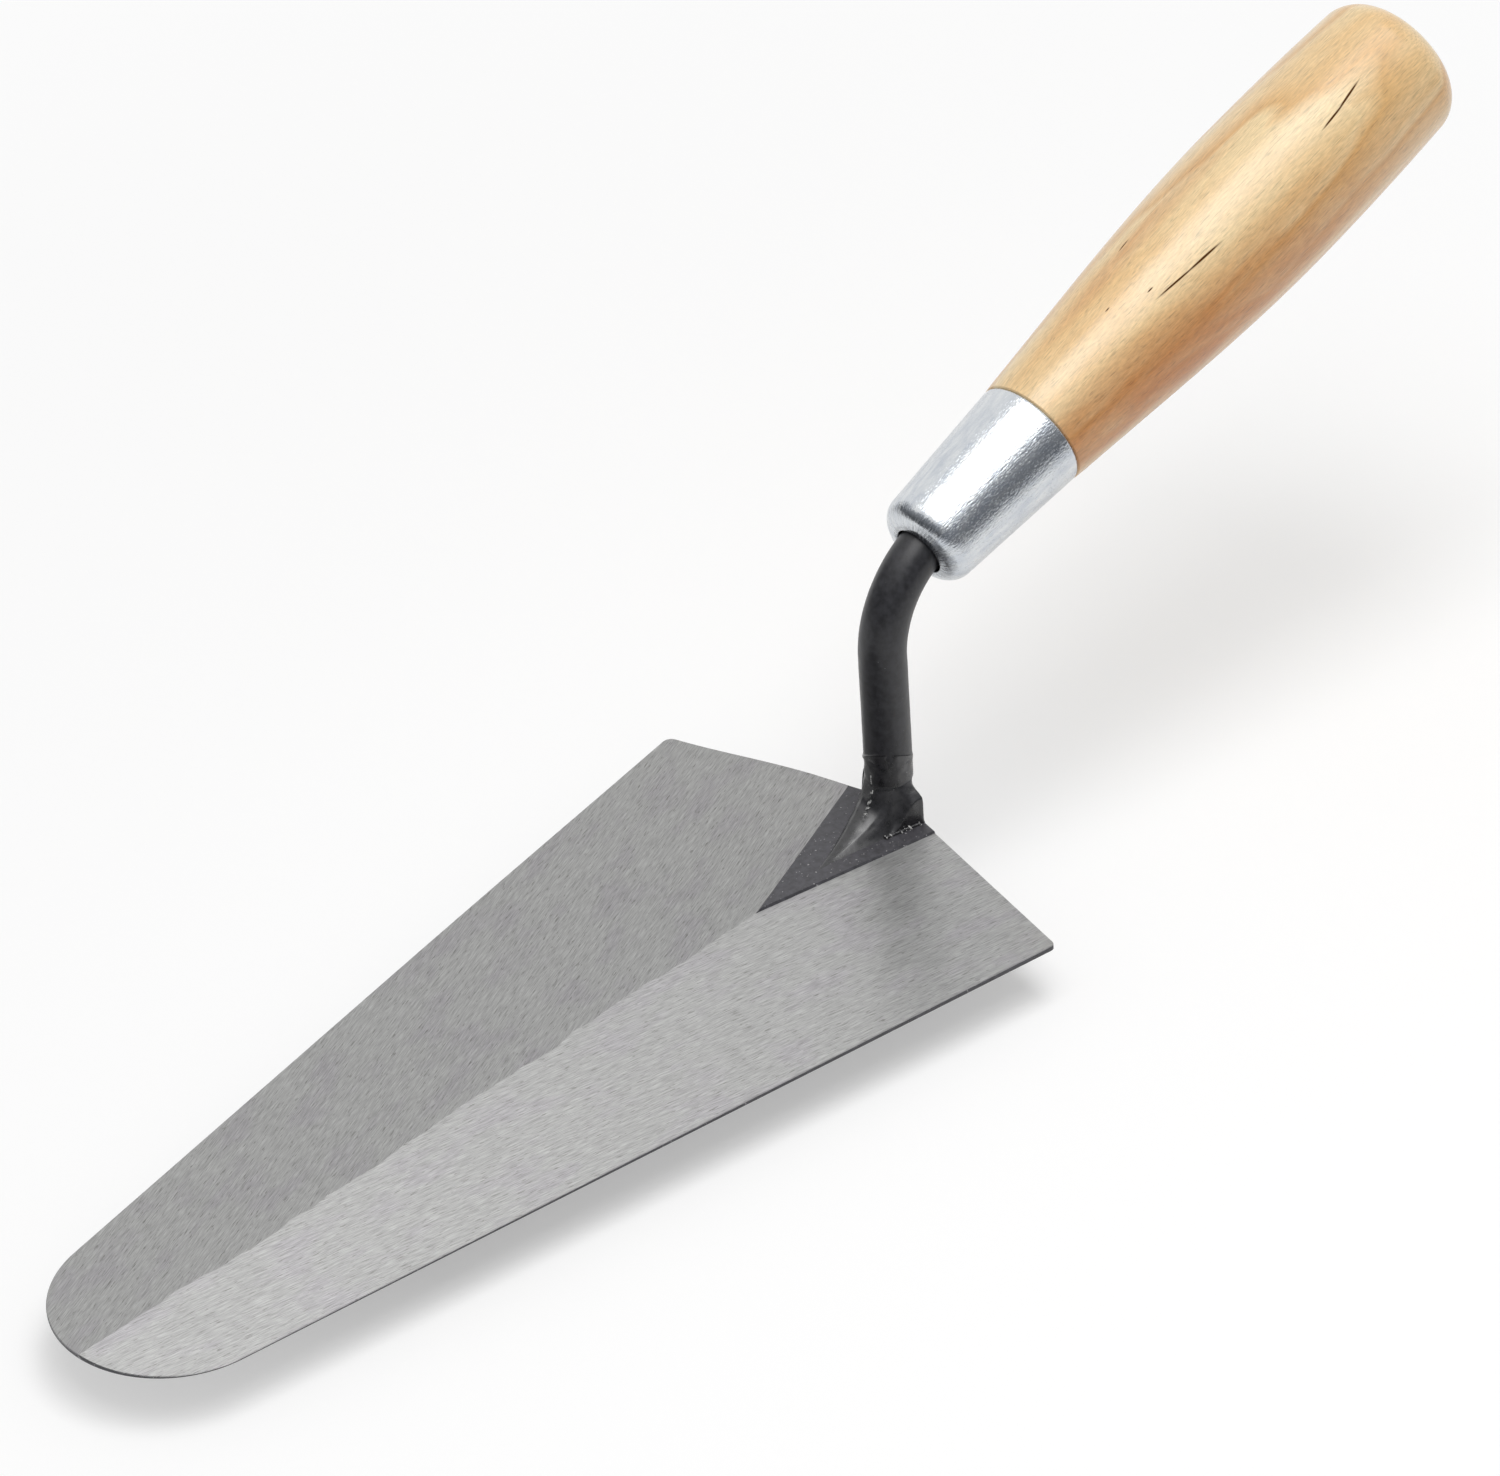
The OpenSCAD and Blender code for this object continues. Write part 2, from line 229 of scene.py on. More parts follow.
woodMarks = dict(  # places are (distance from the ferrule, degrees from the top)
    # dark pith flecks under the lacquer, with their half widths
    slits=(((26.6, 35.9), (34.6, 38.9), 0.18), ((32.9, 38.3), (40.9, 40.5), 0.2),
           ((67.2, 36.8), (73.2, 34.5), 0.17), ((71.4, 35.2), (78.2, 30.6), 0.19),
           ((26.3, 27.6), (27.3, 27.6), 0.14),
           ((19.5, 13.1), (20.2, 13.1), 0.12), ((30.0, -16.3), (32.6, -16.9), 0.12)),
    # broad darker streaks, with their half widths and strengths: the first is figure, the two
    # towards +Y are painted shade along the grip's side away from the lamps
    streaksAndShade=(((10, -10), (66, -12), 2.6, 0.45), ((-75, 90), (105, 90), 10.5, 0.86),
             ((-40, 60), (36, 66), 5.5, 0.55)),
    pith=(-34, -9, 0), pithTilt=(3, 6, 0), ringWidth=4.6,  # the rings' centre line lies below the grip
    mapRadius=12)


def makeLacqueredBirch():
    # Pale birch, turned and sanded, under clear gloss lacquer: faint growth rings, soft golden
    # figure, short fibres and pores drawn a little coarser than real so that they show, and a
    # few dark flecks that the lacquer leaves dull. Broad golden-brown bands towards +Y are
    # painted shade on the side away from the lamps. "grain" holds places across and along the
    # grip and "turned" places round and along it, in mm
    m = woodMarks
    material, tree = newMaterial("lacqueredBirch")
    where = addNode(tree, "ShaderNodeAttribute", attribute_name="grain").outputs["Vector"]
    turned = addNode(tree, "ShaderNodeUVMap", uv_map="turned")
    layers = {}
    for name, across, along, detail, twist in (
            ("figure", 0.13, 0.03, 3, 0.8), ("wobble", 0.09, 0.022, 2, 0), ("fibre", 3.6, 0.55, 3, 0),
            ("pore", 4.5, 0.3, 1, 0)):
        scaled = addNode(tree, "ShaderNodeMapping", {"Vector": where, "Scale": (across, across, along)})
        layers[name] = addNode(tree, "ShaderNodeTexNoise", {
            "Vector": scaled, "Scale": 1, "Detail": detail, "Roughness": 0.6, "Distortion": twist})
    centred = addNode(tree, "ShaderNodeMapping", {
        "Vector": where, "Location": m["pith"], "Rotation": [math.radians(a) for a in m["pithTilt"]]},
        vector_type="TEXTURE")
    flat = addNode(tree, "ShaderNodeVectorMath", {0: centred, 1: (1, 1, 0)}, operation="MULTIPLY")
    far = addNode(tree, "ShaderNodeVectorMath", {0: flat}, operation="LENGTH").outputs["Value"]
    wavy = addNode(tree, "ShaderNodeMath", {0: layers["wobble"], 1: 7.0, 2: far}, operation="MULTIPLY_ADD")
    counted = addNode(tree, "ShaderNodeMath", {0: wavy, 1: m["ringWidth"]}, operation="DIVIDE")
    ring = addNode(tree, "ShaderNodeMath", {0: counted}, operation="FRACT")
    rings = addNode(tree, "ShaderNodeValToRGB", {"Fac": ring}, stops=(
        (0.0, "#e4ca9a"), (0.55, "#dfbe8b"), (0.86, "#d2a76b"), (1.0, "#e3c797")))
    warm = addNode(tree, "ShaderNodeMapRange", {
        "Value": layers["figure"], "From Min": 0.42, "From Max": 0.68, "To Max": 0.6})
    wood = addNode(tree, "ShaderNodeMix", {
        "Factor": warm, "A": rings, "B": linearColour("#dbb073")}, data_type="RGBA").outputs[2]
    ragged = addNode(tree, "ShaderNodeMapRange", {
        "Value": layers["figure"], "From Min": 0.3, "From Max": 0.7, "To Min": 0.5, "To Max": 1.2})

    def stroke(start, end, halfWidth, margin):  # 0 on a stroke's middle line, 1 at its edge
        a, b = [Vector((math.radians(turn) * m["mapRadius"], along, 0)) for along, turn in (start, end)]
        middle, half = (a + b) / 2, (b - a) / 2
        local = addNode(tree, "ShaderNodeMapping", {
            "Vector": turned, "Location": middle, "Rotation": (0, 0, -math.atan2(half.x, half.y)),
            "Scale": (halfWidth, half.length + margin, 1)}, vector_type="TEXTURE")
        return addNode(tree, "ShaderNodeVectorMath", {0: local}, operation="LENGTH").outputs["Value"]

    # the first streak is figure in the wood; the two towards +Y paint shade on the side away from the lamps
    for start, end, halfWidth, strength in m["streaksAndShade"]:
        inside = addNode(tree, "ShaderNodeMapRange", {
            "Value": stroke(start, end, halfWidth, 6), "From Min": 1.0, "From Max": 0.3, "To Max": strength})
        uneven = addNode(tree, "ShaderNodeMath", {0: inside, 1: ragged}, operation="MULTIPLY")
        wood = addNode(tree, "ShaderNodeMix", {
            "Factor": uneven, "A": wood, "B": linearColour("#b8742f")}, data_type="RGBA").outputs[2]
    fine = addNode(tree, "ShaderNodeMapRange", {
        "Value": layers["fibre"], "From Min": 0.3, "From Max": 0.7, "To Min": 0.83, "To Max": 1.13})
    pores = addNode(tree, "ShaderNodeMapRange", {
        "Value": layers["pore"], "From Min": 0.6, "From Max": 0.7, "To Min": 1.0, "To Max": 0.76})
    dim = addNode(tree, "ShaderNodeMath", {0: fine, 1: pores}, operation="MULTIPLY")
    wood = addNode(tree, "ShaderNodeVectorMath", {0: wood, 3: dim}, operation="SCALE").outputs[0]
    unsealed = 0.0
    for start, end, halfWidth in m["slits"]:
        inside = addNode(tree, "ShaderNodeMapRange", {
            "Value": stroke(start, end, halfWidth, 0.2), "From Min": 1.15, "From Max": 0.6})
        unsealed = addNode(tree, "ShaderNodeMath", {0: unsealed, 1: inside}, operation="MAXIMUM")
        wood = addNode(tree, "ShaderNodeMix", {
            "Factor": inside, "A": wood, "B": linearColour("#4e2c13")}, data_type="RGBA").outputs[2]
    coat = addNode(tree, "ShaderNodeMapRange", {"Value": unsealed, "To Min": 0.9, "To Max": 0.0})
    gloss = addNode(tree, "ShaderNodeMapRange", {"Value": unsealed, "To Min": 0.5, "To Max": 0.0})
    bump = addNode(tree, "ShaderNodeBump", {
        "Height": layers["fibre"], "Strength": 0.4, "Distance": 0.00003})
    birch = addNode(tree, "ShaderNodeBsdfPrincipled", {
        "Base Color": wood, "Roughness": 0.5, "IOR": 1.5, "Specular IOR Level": gloss,
        "Coat Weight": coat, "Coat Roughness": 0.25, "Coat IOR": 1.5,
        "Normal": bump, "Coat Normal": bump})
    addNode(tree, "ShaderNodeOutputMaterial", {"Surface": birch})
    return material


groundSteel = makeGroundSteel()
millScale = makeBlackSteel("blackMillScale", "#353438", "#48474c", 0.5, 0.685, "#a8a7a8")
blackLacquer = makeBlackSteel("blackLacquer", "#1e1e21", "#2d2d31", 0.38, 0.78)
thickLacquer = makeBlackSteel("thickBlackLacquer", "#18181a", "#29282b", 0.3, 0.76, ior=1.65)
weldBareAndGlint = makeBlackSteel(  # bare weld metal shows through, and the pale specks also paint the ripples' highlights
    "chippedLacquerAndGlint", "#1c1c1f", "#303034", 0.3, 0.48, "#dededb", 1.65)
brightZinc = makeZincPlate()
lacqueredBirch = makeLacqueredBirch()
print("finishes made")

bladeShape = dict(
    width=85.78, heelDrop=10.1, toeRadius=19.0, cornerRadii=(1.0, 1.6),  # right, left
    cornerThickness=1.0, toeThickness=0.4, crestThickness=1.9,
    padThickness=2.3, padLength=34.6, padWidth=18.6, padTurn=4.3,
    padFlank=0.25, padTipFlank=5,  # its flank runs out so many times farther at its tip
    edgeEase=0.12,  # the broken edges all round
    # the left heel is ground a little hollow by hand: depth, reach along the blade, and the
    # place of its swell as a share of the way from the pad's side to the blade's
    handGround=0.6, handGroundReach=90, handGroundPeak=0.2, handGroundEdge=(-0.34, 0.05),
    # the crest: it wanders from this far past the pad's tip to this far from the toe
    crestHalfWidth=0.35, crestWander=0.7, crestWaves=(9, 3.5), crestBlend=18,
    wanderStart=12, wanderEnd=(20, 2), crestSettle=40,
    # the mesh: points along the outline's parts, along the crest, and between the inner points
    padSteps=5, heelSteps=14, cornerSteps=8, sideSteps=90, toeSteps=32, crestStep=1.2, pitch=2.6)


heelX, toeX = [corner.x for corner in boxOf("blade")]
halfWidth = bladeShape["width"] / 2
corner = Vector((heelX + bladeShape["heelDrop"], halfWidth))  # the heel's right one, before its rounding
toeCentre = Vector((toeX - bladeShape["toeRadius"], 0))
toToe = toeCentre - corner
slant = math.atan2(toToe.y, toToe.x) + math.asin(bladeShape["toeRadius"] / toToe.length)
sideNormal = Vector((-math.sin(slant), math.cos(slant)))
heelNormal = Vector((-halfWidth, bladeShape["heelDrop"])).normalized()
toeTouch = toeCentre + sideNormal * bladeShape["toeRadius"]  # where the side runs into the toe
padReach = heelX + bladeShape["padLength"]
padTip = Vector((padReach, padReach * math.tan(math.radians(bladeShape["padTurn"]))))


def heelAt(y):  # how far back the heel's edge lies
    return heelX + bladeShape["heelDrop"] * abs(y) / halfWidth


def halfOutline(side):  # from the heel's middle round to the toe's, with outward normals
    s = bladeShape
    radius = s["cornerRadii"][0 if side > 0 else 1]
    bisector = (heelNormal + sideNormal).normalized()
    centre = corner - bisector * radius / bisector.dot(sideNormal)
    heelEnd = centre + heelNormal * radius
    padY, footY = s["padWidth"] / 2, s["padWidth"] / 2 + s["padFlank"]
    padSteps, heelSteps, sideSteps = s["padSteps"], s["heelSteps"], s["sideSteps"]
    stops = [padY * i / padSteps for i in range(1, padSteps + 1)] + [footY]
    stops += [footY + (heelEnd.y - footY) * i / heelSteps for i in range(1, heelSteps + 1)]
    points = [(Vector((heelAt(y), y)), heelNormal) for y in stops]
    first, last = [math.degrees(math.atan2(n.y, n.x)) for n in (heelNormal, sideNormal)]
    for turn in arc((0, 0), 1, first, last, s["cornerSteps"])[1:]:
        points.append((centre + Vector(turn) * radius, Vector(turn)))
    start = points[-1][0]
    points += [(start.lerp(toeTouch, i / sideSteps), sideNormal) for i in range(1, sideSteps + 1)]
    for turn in arc((0, 0), 1, last, 0, s["toeSteps"])[1:-1]:
        points.append((toeCentre + Vector(turn) * s["toeRadius"], Vector(turn)))
    return [(Vector((p.x, side * p.y)), Vector((n.x, side * n.y))) for p, n in points]


def groundSlopes(side):  # of one ground half, through its corner, its toe and the pad's tip
    tip = Vector((*padTip, bladeShape["crestThickness"]))
    atCorner = Vector((corner.x, side * corner.y, bladeShape["cornerThickness"]))
    atToe = Vector((toeTouch.x, side * toeTouch.y, bladeShape["toeThickness"]))
    normal = (atToe - tip).cross(atCorner - tip)
    return -normal.x / normal.z, -normal.y / normal.z


slopes = {side: groundSlopes(side) for side in (1, -1)}  # right, left


def crestOffset(x):  # how far the crest wanders from the line where the ground halves meet
    s = bladeShape
    before, after = [toeX - d for d in s["wanderEnd"]]
    ends = easeIn(padTip.x, padTip.x + s["wanderStart"], x) * (1 - easeIn(before, after, x))
    long, short = s["crestWaves"]
    return s["crestWander"] * ends * (
        noise.noise(Vector((x / long, 0.3, 0.7))) + 0.8 * noise.noise(Vector((x / short, 5.3, 0.7))))


def crestY(x):
    (rightX, rightY), (leftX, leftY) = slopes[1], slopes[-1]
    line = padTip.y - (rightX - leftX) * (x - padTip.x) / (rightY - leftY)
    settle = 1 - easeIn(toeX - bladeShape["crestSettle"], toeX, x)
    return line * settle + crestOffset(x)


def groundHeight(x, y):  # of the ground top, which never rises over the pad
    s = bladeShape
    middle = crestY(x)
    shift = crestOffset(x) * (1 - easeIn(0, s["crestBlend"], abs(y - middle)))
    slopeX, slopeY = slopes[1 if y > middle else -1]
    height = s["crestThickness"] + slopeX * (x - padTip.x) + slopeY * (y - shift - padTip.y)
    if y < middle:
        t = (-y - s["padWidth"] / 2) / (halfWidth - s["padWidth"] / 2)
        peak = s["handGroundPeak"]
        swell = math.cos(math.pi * (max(t, 0) - peak) / (1 - peak)) * easeIn(*s["handGroundEdge"], t)
        height += s["handGround"] * swell * (1 - easeIn(0, s["handGroundReach"], x - heelX))
    return min(height, s["padThickness"] - 0.005)


def padEdge(spread):  # the pad's outline at its top, or at the foot of its sloping sides
    y = bladeShape["padWidth"] / 2 + spread
    tip = padTip + Vector((spread * bladeShape["padTipFlank"], 0))
    return Vector((heelAt(y), y)), tip, Vector((heelAt(y), -y))


def within(p, edge, margin=1e-3):  # on the heel's side of both of the pad's long edges
    start, tip, end = edge
    gaps = [(b - a).normalized().cross(p - a) for a, b in ((start, tip), (tip, end))]
    return max(gaps) < margin


def makeBlade():
    s = bladeShape
    right, left = halfOutline(1), halfOutline(-1)
    outline = [(Vector((heelX, 0)), Vector((-1, 0)))] + right
    outline += [(Vector((toeX, 0)), Vector((1, 0)))] + left[::-1]
    count = len(outline)
    padTop, padFoot = padEdge(0), padEdge(s["padFlank"])
    inner = [p - n * s["edgeEase"] for p, n in outline]
    flat = list(inner)
    lines = [(i, (i + 1) % count) for i in range(count)]

    def addLine(stops, step=1.6):  # a line the mesh must keep, between stops, some on the outline
        ids = []
        for stop, following in zip(stops, stops[1:] + [None]):
            near = min(range(count), key=lambda i: (inner[i] - stop).length)
            if (inner[near] - stop).length < 0.3:
                ids.append(near)
            else:
                flat.append(stop)
                ids.append(len(flat) - 1)
            if following is not None:
                pieces = max(1, round((following - stop).length / step))
                for i in range(1, pieces):
                    flat.append(stop.lerp(following, i / pieces))
                    ids.append(len(flat) - 1)
        lines.extend(zip(ids, ids[1:]))

    addLine(list(padTop))
    addLine(list(padFoot))
    crestStart, crestStep = padFoot[1].x, s["crestStep"]
    xs = [crestStart + crestStep * i for i in range(int((toeX - crestStart - 1.5) / crestStep) + 1)]
    for offset in (-s["crestHalfWidth"], 0, s["crestHalfWidth"]):  # its middle and both its sides
        skip = 0 if offset == 0 else 2
        addLine([Vector((x, crestY(x) + offset)) for x in xs[skip:]], step=9)
    taken = kdtree.KDTree(len(flat))  # inner points keep clear of these
    for i, p in enumerate(flat):
        taken.insert((*p, 0), i)
    taken.balance()
    pitch, evenRows = s["pitch"], 0.866  # rows this close make even triangles
    for row in range(int(s["width"] / pitch / evenRows) + 2):
        for column in range(int((toeX - heelX) / pitch) + 2):
            p = Vector((heelX + (column + row % 2 / 2) * pitch, row * pitch * evenRows - halfWidth))
            if taken.find((*p, 0))[2] > 0.45 * pitch:
                flat.append(p)
    cut = delaunay_2d_cdt(flat, lines, [list(range(count))], 1, 1e-6)
    points = [(p.x, p.y, s["padThickness"] if within(p, padTop) else groundHeight(*p)) for p in cut[0]]
    ring = [None] * count  # where the cut mesh holds the outline's points
    for i, sources in enumerate(cut[3]):
        for k in sources:
            if k < count:
                ring[k] = i
    faces = [list(f) for f in cut[2]]
    ease = s["edgeEase"]
    rings = [ring]  # the edge: eased above and below, then the flat underside
    for inset, heightAt in ((0, lambda z: z - ease), (0, lambda z: ease), (ease, lambda z: 0)):
        rings.append(list(range(len(points), len(points) + count)))
        points += [(*(p - n * inset), heightAt(points[ring[i]][2])) for i, (p, n) in enumerate(outline)]
    for upper, lower in zip(rings, rings[1:]):
        for i in range(count):
            j = (i + 1) % count
            faces.append([upper[i], lower[i], lower[j], upper[j]])
    faces.append(rings[-1])

    blade = meshPiece("blade", points, faces, [groundSteel, millScale])
    directions = {1: (padTop[1] - padTop[0]).normalized(), -1: (padTop[1] - padTop[2]).normalized()}
    for face in blade.data.polygons:  # the sheared edges keep their scale, as the pad does
        centre = (face.center / mm).xy
        sheared = abs(face.normal.z) < 0.3 or -0.9 < face.normal.z < 0
        face.material_index = int(sheared or face.normal.z > 0.1 and within(centre, padFoot, 0.01))

    def grindPlace(face, point):  # across and along the grinding lines
        if face.normal.z < -0.9:
            return point.y, point.x
        if face.normal.z < 0.5:
            along = Vector((-face.normal.y, face.normal.x)).normalized()
            return point.z, along.dot(point.xy)
        centre = face.center / mm
        along = directions[1 if centre.y > crestY(centre.x) else -1]
        return along.cross(point.xy), along.dot(point.xy)

    paintMap(blade, "grind", grindPlace)
    return blade


blade = makeBlade()
place(blade, "ground_steel", "blade")
print("blade made", len(blade.data.polygons))

footShape = dict(
    width=13.4, lean=7.3, nosePower=1.18, neckRadius=3.9, neckHeight=7.0,
    # the heel end's wall: its height, and where it starts to sink and over what, right and left
    wallShare=0.68, wallFade=((-0.3, 5.8), (-0.9, 1.4)),
    # the nose: a mound with its crest to the left, and how far the neck's foot spreads
    crestHeight=7.0, crestSide=0.3, knee=0.6, kneeDrop=0.25, flare=(1.8, 0.9), flareBlend=2,
    edgeFade=(-0.5, 3), edgeShare=0.2,  # along the nose's edges it doesn't spread
    noseSteps=140, rearSteps=14, wallRows=12, rows=44, softenRounds=6,  # of the mesh
    hammering=0.14, footDents=1.6, sleeveDents=1.4,  # depth of the hammer marks, and their sizes
    # lapped weld marks, bare along their ridges and with a painted highlight there: where they
    # start and end, and their size
    rippleFrom=(2.3, 3.3), rippleTo=(6, 8), ripple=0.12, ripplePitch=0.72, rippleSpread=0.42,
    rippleSide=1.5, rippleBareAndGlint=0.5,
    # the seam's ring slants up on one side
    seamTilt=2.6, seamBack=0.8, seamSide=42.0, collar=0.1, sleeveRows=26,
    pitTurn=50.0, pitUp=2.1, pitSize=0.45, pitDepth=0.6)  # a small hole that the weld left


def seamHeight(turn):  # over the seam's middle, round the rod, turn in radians
    s = footShape
    slope = math.cos(turn - math.radians(s["seamSide"]))
    return slope * (s["seamTilt"] if slope > 0 else s["seamBack"])


footBase, seamZ = [corner.z for corner in boxOf("foot")]
noseX, rearX = boxOf("foot")[1].x, boxOf("foot_weld")[0].x  # the nose's tip, and where it starts
noseLength = noseX - rearX
noseLean = math.tan(math.radians(footShape["lean"]))


def footOutline():  # half of it, from the middle of the heel to the nose
    s = footShape
    half = s["width"] / 2
    side = []
    for i in range(s["rearSteps"]):
        u = i / s["rearSteps"]
        side.append((heelX + u * (rearX - heelX), u * half))
    for i in range(s["noseSteps"]):
        u = i / s["noseSteps"]
        side.append((rearX + noseLength * u, half * (1 - u) ** s["nosePower"]))
    return side


def acrossNose(q):  # half the nose's width at this place, and how far across it the place is
    s = footShape
    half = s["width"] / 2 * (1 - min(1, max(0, q.x - rearX) / noseLength)) ** s["nosePower"] + 1e-6
    return half, min(1, max(0, (q.y - q.x * noseLean + half) / (2 * half)))


def noseHeight(q):  # height over the pad of the nose's mound and the neck's foot
    s = footShape
    half, u = acrossNose(q)
    crestAt, knee = s["crestSide"], s["knee"]
    t = (u - crestAt) / (1 - crestAt)
    if u < crestAt:
        over = math.sin(math.pi / 2 * u / crestAt)
    elif t < knee:
        over = 1 - s["kneeDrop"] * (t / knee) ** 2
    else:
        over = (1 - s["kneeDrop"]) * (1 - t) / (1 - knee)
    mound = s["crestHeight"] * (1 - q.x / noseX) ** 2 * over if 0 < q.x < noseX else 0
    rightFlare, leftFlare = s["flare"]
    spread = leftFlare + (rightFlare - leftFlare) * easeIn(-s["flareBlend"], s["flareBlend"], q.y)
    edge = 1 - easeIn(*s["edgeFade"], q.x) * (1 - easeIn(0, s["edgeShare"], min(u, 1 - u)))
    flare = edge * s["neckHeight"] * math.exp(-max(0, q.length - s["neckRadius"]) / spread)
    return min(s["neckHeight"], (mound ** 3 + flare ** 3) ** (1 / 3))


def ripples(q):  # lapped weld marks on the mound, where it leaves the neck
    s = footShape
    half, u = acrossNose(q)
    off = (u - s["crestSide"]) * 2 * half - s["rippleSide"]
    band = easeIn(*s["rippleFrom"], q.x) * (1 - easeIn(*s["rippleTo"], q.x))
    band *= math.exp(-(off / s["rippleSpread"]) ** 2)
    return s["ripple"] * band * math.sin(2 * math.pi * (q.x + 0.3 * q.y) / s["ripplePitch"])


def footRows(outline):  # rings of points from the pad up to the neck
    s = footShape
    count = len(outline)
    rows = [[] for row in range(s["wallRows"] + s["rows"] + 1)]
    for p in outline:
        onNeck = p.normalized() * s["neckRadius"]
        fadeFrom, fadeOver = s["wallFade"][0 if p.y > 0 else 1]
        wall = 1 - easeIn(fadeFrom, fadeFrom + fadeOver, p.x)
        wallTop = s["neckHeight"] * s["wallShare"]
        for row in range(len(rows)):
            u = max(0, row - s["wallRows"]) / s["rows"]
            q = p.lerp(onNeck, u)
            shoulder = wallTop + (s["neckHeight"] - wallTop) * u
            height = wall * shoulder + (1 - wall) * noseHeight(q)
            height *= min(1, row / s["wallRows"])
            rows[row].append(Vector((q.x, q.y, footBase + height)))
    for step in range(s["softenRounds"]):  # rounds the edges off, as a wire wheel does
        last = rows
        rows = [list(row) for row in last]
        for row in range(1, len(rows) - 1):
            for i in range(count):
                around = (last[row - 1][i] + last[row + 1][i]
                          + last[row][i - 1] + last[row][(i + 1) % count]) / 4
                rows[row][i] = last[row][i].lerp(around, 0.5)
    for row, ring in enumerate(rows):  # hammers it and adds the weld marks
        h = row / (len(rows) - 1)
        for i, q in enumerate(ring):
            out = Vector((q.x, q.y, 0)).normalized()
            ring[i] = q + out * s["hammering"] * h * (1 - h) * 4 * noise.noise(q / s["footDents"])
            ring[i].z += ripples(q)
    return rows


def sleeveRing(outline, neckTop, u):  # one ring of the hammered sleeve, u of the way to the seam
    s = footShape
    ring = []
    for p, base in zip(outline, neckTop):
        turn = math.atan2(p.y, p.x)
        height = base.z + (seamZ + seamHeight(turn) - base.z) * u
        out = Vector((math.cos(turn), math.sin(turn), 0))
        onSleeve = out * s["neckRadius"] + Vector((0, 0, height))
        dent = 4 * u * (1 - u) * s["hammering"] * noise.noise(onSleeve / s["sleeveDents"])
        offSide = (turn - math.radians(s["pitTurn"])) * s["neckRadius"] / s["pitSize"]
        offUp = (height - seamZ - s["pitUp"]) / s["pitSize"]
        dent -= s["pitDepth"] * math.exp(-offSide ** 2 - offUp ** 2)
        radius = s["neckRadius"] + s["collar"] * easeIn(0.7, 1, u) + dent
        ring.append(out * radius + Vector((0, 0, height)))
    return ring


def makeFoot():
    s = footShape
    side = footOutline()
    outline = side + [(noseX, 0)] + [(x, -y) for x, y in side[:0:-1]]
    outline = [Vector((x, y + max(x, 0) * noseLean)) for x, y in outline]
    count = len(outline)
    rows = footRows(outline)
    neckTop = list(rows[-1])
    for step in range(1, s["sleeveRows"] + 1):
        rows.append(sleeveRing(outline, neckTop, step / s["sleeveRows"]))
    points, faces = [p for row in rows for p in row], []
    for row in range(len(rows) - 1):
        for i in range(count):
            a, b = row * count + i, row * count + (i + 1) % count
            faces.append([a, b, b + count, a + count])
    faces.append(list(range(count)))
    faces.append([len(points) - count + i for i in range(count)])
    piece = meshPiece("foot", points, faces, [thickLacquer, weldBareAndGlint], 60)
    # faces along the ripples' ridges take the pale finish: bare weld metal and a painted highlight
    for face in piece.data.polygons:
        centre = face.center / mm
        ridge = ripples(centre) > s["rippleBareAndGlint"] * s["ripple"]
        face.material_index = int(centre.z < seamZ - 2 and ridge)
    return piece


foot = makeFoot()
place(foot, "black_steel", "foot")
print("foot made")


def newTree(name, inputs):  # a Geometry Nodes tree with a geometry input and named sizes
    tree = bpy.data.node_groups.new(name, "GeometryNodeTree")
    tree.interface.new_socket("Geometry", in_out="INPUT", socket_type="NodeSocketGeometry")
    for title, kind in inputs:
        tree.interface.new_socket(title, in_out="INPUT", socket_type="NodeSocket" + kind)
    tree.interface.new_socket("Geometry", in_out="OUTPUT", socket_type="NodeSocketGeometry")
    return tree, addNode(tree, "NodeGroupInput").outputs


def pathPiece(name, stops, closed, tree, values):  # runs a tree on a path and keeps the plain mesh
    curve = bpy.data.curves.new(name + "Path", "CURVE")
    curve.dimensions = "3D"
    spline = curve.splines.new("POLY")
    spline.points.add(len(stops) - 1)
    spline.use_cyclic_u = closed
    for point, stop in zip(spline.points, stops):
        point.co = (*(Vector(stop) * mm), 1)
    holder = bpy.data.objects.new(name + "Path", curve)
    bpy.context.scene.collection.objects.link(holder)
    modifier = holder.modifiers.new("tree", "NODES")
    modifier.node_group = tree
    for item in tree.interface.items_tree:
        if item.item_type == "SOCKET" and item.in_out == "INPUT" and item.name in values:
            modifier[item.identifier] = values[item.name]
    graph = bpy.context.evaluated_depsgraph_get()
    mesh = bpy.data.meshes.new_from_object(holder.evaluated_get(graph), depsgraph=graph)
    mesh.name = name
    holder.modifiers.remove(modifier)
    bpy.data.objects.remove(holder)
    piece = bpy.data.objects.new(name, mesh)
    bpy.context.scene.collection.objects.link(piece)
    return piece


